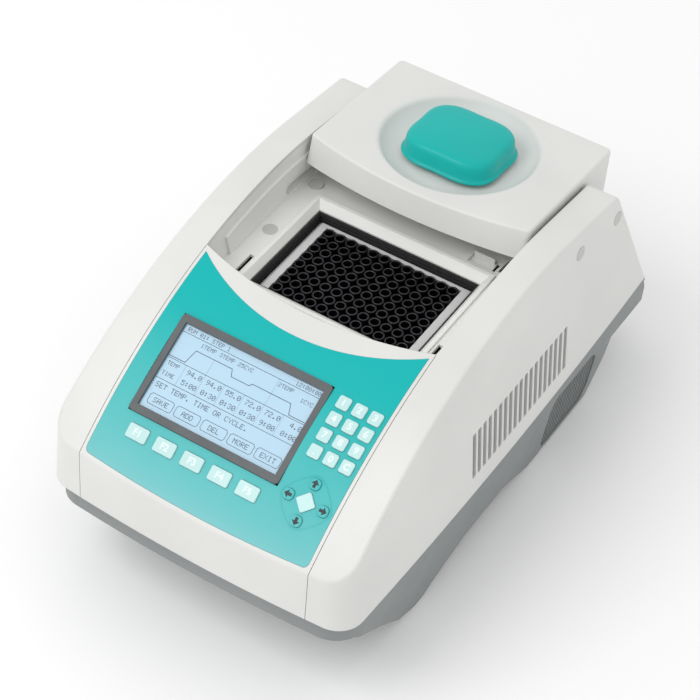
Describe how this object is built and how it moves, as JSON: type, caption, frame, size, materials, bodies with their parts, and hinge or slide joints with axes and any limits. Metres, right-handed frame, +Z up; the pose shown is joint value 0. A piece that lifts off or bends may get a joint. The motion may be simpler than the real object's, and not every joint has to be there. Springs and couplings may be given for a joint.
{
  "type": "thermal cycler",
  "caption": "Bench thermal cycler: tilted control panel with display and keypad, sliding lid with a lobed pressure knob, and a well block for sample tubes.",
  "frame": {"origin": "middle of the footprint, on the bench", "axes": "+Z up, front faces -Y, +X to the user's right"},
  "size_m": [0.2394, 0.4127, 0.2129],
  "materials": {
    "base_pan": "fine moulded grain",
    "block_frame": "satin",
    "data_port": "stamped",
    "display_bezel": "satin",
    "display_screen": "smooth LCD face",
    "fan_housing": "moulded",
    "fan_rotor": "moulded",
    "front_panel": "fine moulded grain",
    "fuse_drawer": "moulded",
    "gasket": "matte",
    "guide_shoes": "low-friction moulding",
    "heat_sink": "extruded",
    "heated_plate": "milled",
    "hole_plugs": "satin",
    "inner_deck": "satin",
    "key_0": "satin",
    "key_1": "satin",
    "key_2": "satin",
    "key_3": "satin",
    "key_4": "satin",
    "key_5": "satin",
    "key_6": "satin",
    "key_7": "satin",
    "key_8": "satin",
    "key_9": "satin",
    "key_clear": "satin",
    "key_down": "satin",
    "key_enter": "satin",
    "key_left": "satin",
    "key_point": "satin",
    "key_right": "satin",
    "key_up": "satin",
    "knob_nut": "turned",
    "lid_base": "satin",
    "lid_catch": "bent sheet",
    "lid_cover": "fine moulded grain",
    "lid_knob": "fine moulded grain",
    "lid_tracks": "satin",
    "main_board": "circuit board",
    "panel_boards": "circuit board",
    "panel_overlay": "satin printed film, lighter toward the front",
    "peltier_modules": "ceramic",
    "plate_carrier": "stamped",
    "power_inlet": "moulded",
    "power_supply": "folded sheet",
    "power_switch": "moulded",
    "pressure_screw": "turned",
    "pressure_springs": "drawn wire",
    "rear_panel": "fine texture",
    "rubber_feet": "matte",
    "sample_block": "black anodised",
    "screws_and_posts": "plated",
    "side_grilles": "satin",
    "soft_key_1": "satin",
    "soft_key_2": "satin",
    "soft_key_3": "satin",
    "soft_key_4": "satin",
    "soft_key_5": "satin",
    "upper_casing": "fine moulded grain",
    "well_bezel": "satin"
  },
  "bodies": {
    "housing": {"base_pan": "base_pan", "block_frame": "block_frame", "data_port": "data_port", "display_bezel": "display_bezel", "display_screen": "display_screen", "fan_housing": "fan_housing", "front_panel": "front_panel", "fuse_drawer": "fuse_drawer", "gasket": "gasket", "heat_sink": "heat_sink", "hole_plugs": "hole_plugs", "inner_deck": "inner_deck", "lid_catch": "lid_catch", "lid_tracks": "lid_tracks", "main_board": "main_board", "panel_boards": "panel_boards", "panel_overlay": "panel_overlay", "peltier_modules": "peltier_modules", "power_inlet": "power_inlet", "power_supply": "power_supply", "rear_panel": "rear_panel", "rubber_feet": "rubber_feet", "sample_block": "sample_block", "screws_and_posts": "screws_and_posts", "side_grilles": "side_grilles", "upper_casing": "upper_casing", "well_bezel": "well_bezel"},
    "lid": {"lid_cover": "lid_cover", "lid_base": "lid_base", "guide_shoes": "guide_shoes"},
    "knob": {"lid_knob": "lid_knob", "knob_nut": "knob_nut"},
    "screw": {"pressure_screw": "pressure_screw"},
    "plate": {"heated_plate": "heated_plate", "pressure_springs": "pressure_springs", "plate_carrier": "plate_carrier"},
    "fan": {"fan_rotor": "fan_rotor"},
    "rocker": {"power_switch": "power_switch"},
    "soft_key_1_body": {"soft_key_1": "soft_key_1"},
    "soft_key_2_body": {"soft_key_2": "soft_key_2"},
    "soft_key_3_body": {"soft_key_3": "soft_key_3"},
    "soft_key_4_body": {"soft_key_4": "soft_key_4"},
    "soft_key_5_body": {"soft_key_5": "soft_key_5"},
    "key_1_body": {"key_1": "key_1"},
    "key_2_body": {"key_2": "key_2"},
    "key_3_body": {"key_3": "key_3"},
    "key_4_body": {"key_4": "key_4"},
    "key_5_body": {"key_5": "key_5"},
    "key_6_body": {"key_6": "key_6"},
    "key_7_body": {"key_7": "key_7"},
    "key_8_body": {"key_8": "key_8"},
    "key_9_body": {"key_9": "key_9"},
    "key_point_body": {"key_point": "key_point"},
    "key_0_body": {"key_0": "key_0"},
    "key_clear_body": {"key_clear": "key_clear"},
    "key_up_body": {"key_up": "key_up"},
    "key_left_body": {"key_left": "key_left"},
    "key_right_body": {"key_right": "key_right"},
    "key_down_body": {"key_down": "key_down"},
    "key_enter_body": {"key_enter": "key_enter"}
  },
  "joints": [
    {"name": "lid_travel", "type": "hinge", "parent": "housing", "child": "lid", "pos_m": [0, 0.0284, -0.153], "axis": [1, 0, 0], "range_deg": [0, 19]},
    {"name": "knob_turn", "type": "hinge", "parent": "lid", "child": "knob", "pos_m": [0, 0.11667, 0.20057], "axis": [0, -0.0958, -0.9954], "range_deg": [0, 360]},
    {"name": "screw_travel", "type": "slide", "parent": "lid", "child": "screw", "axis": [0, -0.0958, -0.9954], "range_m": [0, 0.005]},
    {"name": "plate_travel", "type": "slide", "parent": "lid", "child": "plate", "axis": [0, -0.3256, -0.9455], "range_m": [0, 0.005]},
    {"name": "fan_spin", "type": "hinge", "parent": "housing", "child": "fan", "pos_m": [0.052, 0.17136, 0.10347], "axis": [0, 0.91, 0.4147], "continuous": true},
    {"name": "switch_rock", "type": "hinge", "parent": "housing", "child": "rocker", "pos_m": [-0.015, 0.17345, 0.10443], "axis": [1, 0, 0], "range_deg": [0, 18]},
    {"name": "soft_key_1_press", "type": "slide", "parent": "housing", "child": "soft_key_1_body", "axis": [0, 0.5778, -0.8162], "range_m": [0, 0.0008], "stiffness_N_per_m": 300},
    {"name": "soft_key_2_press", "type": "slide", "parent": "housing", "child": "soft_key_2_body", "axis": [0, 0.5778, -0.8162], "range_m": [0, 0.0008], "stiffness_N_per_m": 300},
    {"name": "soft_key_3_press", "type": "slide", "parent": "housing", "child": "soft_key_3_body", "axis": [0, 0.5778, -0.8162], "range_m": [0, 0.0008], "stiffness_N_per_m": 300},
    {"name": "soft_key_4_press", "type": "slide", "parent": "housing", "child": "soft_key_4_body", "axis": [0, 0.5778, -0.8162], "range_m": [0, 0.0008], "stiffness_N_per_m": 300},
    {"name": "soft_key_5_press", "type": "slide", "parent": "housing", "child": "soft_key_5_body", "axis": [0, 0.5778, -0.8162], "range_m": [0, 0.0008], "stiffness_N_per_m": 300},
    {"name": "key_1_press", "type": "slide", "parent": "housing", "child": "key_1_body", "axis": [0, 0.3899, -0.9208], "range_m": [0, 0.0008], "stiffness_N_per_m": 300},
    {"name": "key_2_press", "type": "slide", "parent": "housing", "child": "key_2_body", "axis": [0, 0.3899, -0.9208], "range_m": [0, 0.0008], "stiffness_N_per_m": 300},
    {"name": "key_3_press", "type": "slide", "parent": "housing", "child": "key_3_body", "axis": [0, 0.3899, -0.9208], "range_m": [0, 0.0008], "stiffness_N_per_m": 300},
    {"name": "key_4_press", "type": "slide", "parent": "housing", "child": "key_4_body", "axis": [0, 0.4203, -0.9074], "range_m": [0, 0.0008], "stiffness_N_per_m": 300},
    {"name": "key_5_press", "type": "slide", "parent": "housing", "child": "key_5_body", "axis": [0, 0.4203, -0.9074], "range_m": [0, 0.0008], "stiffness_N_per_m": 300},
    {"name": "key_6_press", "type": "slide", "parent": "housing", "child": "key_6_body", "axis": [0, 0.4203, -0.9074], "range_m": [0, 0.0008], "stiffness_N_per_m": 300},
    {"name": "key_7_press", "type": "slide", "parent": "housing", "child": "key_7_body", "axis": [0, 0.4503, -0.8929], "range_m": [0, 0.0008], "stiffness_N_per_m": 300},
    {"name": "key_8_press", "type": "slide", "parent": "housing", "child": "key_8_body", "axis": [0, 0.4503, -0.8929], "range_m": [0, 0.0008], "stiffness_N_per_m": 300},
    {"name": "key_9_press", "type": "slide", "parent": "housing", "child": "key_9_body", "axis": [0, 0.4503, -0.8929], "range_m": [0, 0.0008], "stiffness_N_per_m": 300},
    {"name": "key_point_press", "type": "slide", "parent": "housing", "child": "key_point_body", "axis": [0, 0.4797, -0.8774], "range_m": [0, 0.0008], "stiffness_N_per_m": 300},
    {"name": "key_0_press", "type": "slide", "parent": "housing", "child": "key_0_body", "axis": [0, 0.4797, -0.8774], "range_m": [0, 0.0008], "stiffness_N_per_m": 300},
    {"name": "key_clear_press", "type": "slide", "parent": "housing", "child": "key_clear_body", "axis": [0, 0.4797, -0.8774], "range_m": [0, 0.0008], "stiffness_N_per_m": 300},
    {"name": "key_up_press", "type": "slide", "parent": "housing", "child": "key_up_body", "axis": [0, 0.5235, -0.8521], "range_m": [0, 0.0008], "stiffness_N_per_m": 300},
    {"name": "key_left_press", "type": "slide", "parent": "housing", "child": "key_left_body", "axis": [0, 0.5537, -0.8327], "range_m": [0, 0.0008], "stiffness_N_per_m": 300},
    {"name": "key_right_press", "type": "slide", "parent": "housing", "child": "key_right_body", "axis": [0, 0.5537, -0.8327], "range_m": [0, 0.0008], "stiffness_N_per_m": 300},
    {"name": "key_down_press", "type": "slide", "parent": "housing", "child": "key_down_body", "axis": [0, 0.5833, -0.8123], "range_m": [0, 0.0008], "stiffness_N_per_m": 300},
    {"name": "key_enter_press", "type": "slide", "parent": "housing", "child": "key_enter_body", "axis": [0, 0.5537, -0.8327], "range_m": [0, 0.0008], "stiffness_N_per_m": 300}
  ],
  "couplings": [
    {"joint": "screw_travel", "follows": "knob_turn", "m_per_rad": 0.00079577},
    {"joint": "plate_travel", "follows": "knob_turn", "m_per_rad": 0.00079577}
  ]
}
